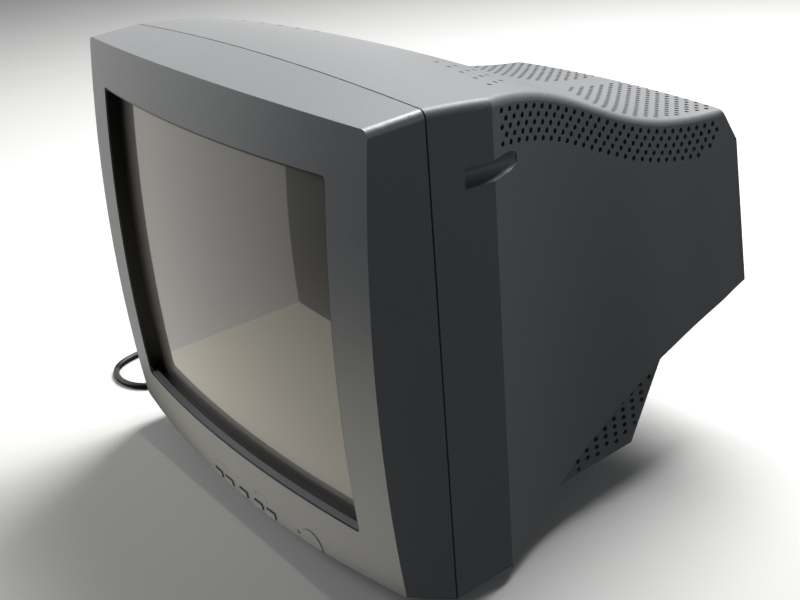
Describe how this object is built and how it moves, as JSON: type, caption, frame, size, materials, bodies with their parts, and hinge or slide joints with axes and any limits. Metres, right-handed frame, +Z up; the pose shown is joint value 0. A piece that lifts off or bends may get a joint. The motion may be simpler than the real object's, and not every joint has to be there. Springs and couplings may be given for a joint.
{
  "type": "television set",
  "caption": "Table-top television with a domed silver front, a flat-looking picture tube, chin buttons and a wave-topped vented rear cover; mains cord with plug.",
  "frame": {"origin": "on the floor, under the middle of the cabinet's box", "axes": "+X to the viewer's right of a person facing the screen, +Y from the screen to the back, +Z up"},
  "size_m": [0.6668, 0.5018, 0.4316],
  "materials": {
    "bezel_plastic": "satin silver paint on moulded polystyrene",
    "cover_plastic": "fine spark-eroded grain, moulded",
    "black_plastic": "smooth moulded",
    "button_plastic": "satin silver paint",
    "sensor_lens": "polished dark red",
    "rubber_pad": "matt",
    "zinc_screw": "zinc plated",
    "screen_glass": "polished, grey-green tinted",
    "funnel_glass": "graphite coated",
    "neck_glass": "clear",
    "band_steel": "zinc plated strip",
    "mask_steel": "blackened steel",
    "gun_steel": "drawn",
    "bakelite": "moulded",
    "black_tape": "wound vinyl tape",
    "yoke_plastic": "moulded",
    "copper_wire": "enamelled copper windings",
    "ferrite": "sintered",
    "circuit_board": "phenolic paper board",
    "anode_rubber": "smooth",
    "potting_plastic": "potted",
    "knob_plastic": "moulded",
    "capacitor_sleeve": "shrunk sleeve",
    "heat_sink_aluminium": "extruded",
    "jack_plastic": "moulded",
    "tin_plate": "tinned sheet",
    "nickel_plate": "nickel plated",
    "speaker_cone": "pressed basket and paper cone",
    "cord_vinyl": "extruded vinyl"
  },
  "bodies": {
    "cabinet": {"anode_cap": "anode_rubber", "anode_lead": "anode_rubber", "antenna_jack": "nickel_plate", "av_jacks": "jack_plastic", "capacitors": "capacitor_sleeve", "control_board": "circuit_board", "convergence_rings": "yoke_plastic", "cover_screws": "zinc_screw", "crt_funnel_glass": "funnel_glass", "crt_neck_glass": "neck_glass", "crt_panel_glass": "screen_glass", "crt_socket": "bakelite", "degaussing_coil": "black_tape", "electron_gun": "gun_steel", "flyback_transformer": "potting_plastic", "front_bezel": "bezel_plastic", "front_feet": "rubber_pad", "ground_braid": "tin_plate", "heat_sinks": "heat_sink_aluminium", "implosion_band": "band_steel", "infrared_receiver": "black_plastic", "jack_panel": "black_plastic", "left_speaker": "speaker_cone", "main_board": "circuit_board", "mask_frame": "mask_steel", "neck_board": "circuit_board", "power_cord": "cord_vinyl", "power_cord_coil": "cord_vinyl", "power_plug": "cord_vinyl", "power_switch": "black_plastic", "power_transformer": "ferrite", "rear_cover": "cover_plastic", "rear_foot_pads": "rubber_pad", "remote_sensor_window": "sensor_lens", "right_speaker": "speaker_cone", "screen_surround": "black_plastic", "screen_trim": "bezel_plastic", "shadow_mask": "mask_steel", "strain_relief": "cord_vinyl", "tact_switches": "black_plastic", "tube_base": "bakelite", "tube_mount_screws": "zinc_screw", "tuner_module": "tin_plate", "yoke_core": "ferrite", "yoke_former": "yoke_plastic", "yoke_windings": "copper_wire"},
    "volume_down": {"volume_down_button": "button_plastic"},
    "volume_up": {"volume_up_button": "button_plastic"},
    "menu": {"menu_button": "button_plastic"},
    "channel_down": {"channel_down_button": "button_plastic"},
    "channel_up": {"channel_up_button": "button_plastic"},
    "power": {"power_button": "button_plastic"},
    "focus": {"focus_knob": "knob_plastic"},
    "screen": {"screen_knob": "knob_plastic"}
  },
  "joints": [
    {"name": "volume_down_press", "type": "slide", "parent": "cabinet", "child": "volume_down", "axis": [0, 1, 0], "range_m": [0, 0.0015], "stiffness_N_per_m": 900},
    {"name": "volume_up_press", "type": "slide", "parent": "cabinet", "child": "volume_up", "axis": [0, 1, 0], "range_m": [0, 0.0015], "stiffness_N_per_m": 900},
    {"name": "menu_press", "type": "slide", "parent": "cabinet", "child": "menu", "axis": [0, 1, 0], "range_m": [0, 0.0015], "stiffness_N_per_m": 900},
    {"name": "channel_down_press", "type": "slide", "parent": "cabinet", "child": "channel_down", "axis": [0, 1, 0], "range_m": [0, 0.0015], "stiffness_N_per_m": 900},
    {"name": "channel_up_press", "type": "slide", "parent": "cabinet", "child": "channel_up", "axis": [0, 1, 0], "range_m": [0, 0.0015], "stiffness_N_per_m": 900},
    {"name": "power_press", "type": "slide", "parent": "cabinet", "child": "power", "axis": [0, 1, 0], "range_m": [0, 0.002], "stiffness_N_per_m": 900},
    {"name": "focus_turn", "type": "hinge", "parent": "cabinet", "child": "focus", "pos_m": [-0.096, 0.0235, 0.0986], "axis": [0, 1, 0], "range_deg": [-135, 135]},
    {"name": "screen_turn", "type": "hinge", "parent": "cabinet", "child": "screen", "pos_m": [-0.096, 0.0235, 0.0766], "axis": [0, 1, 0], "range_deg": [-135, 135]}
  ]
}
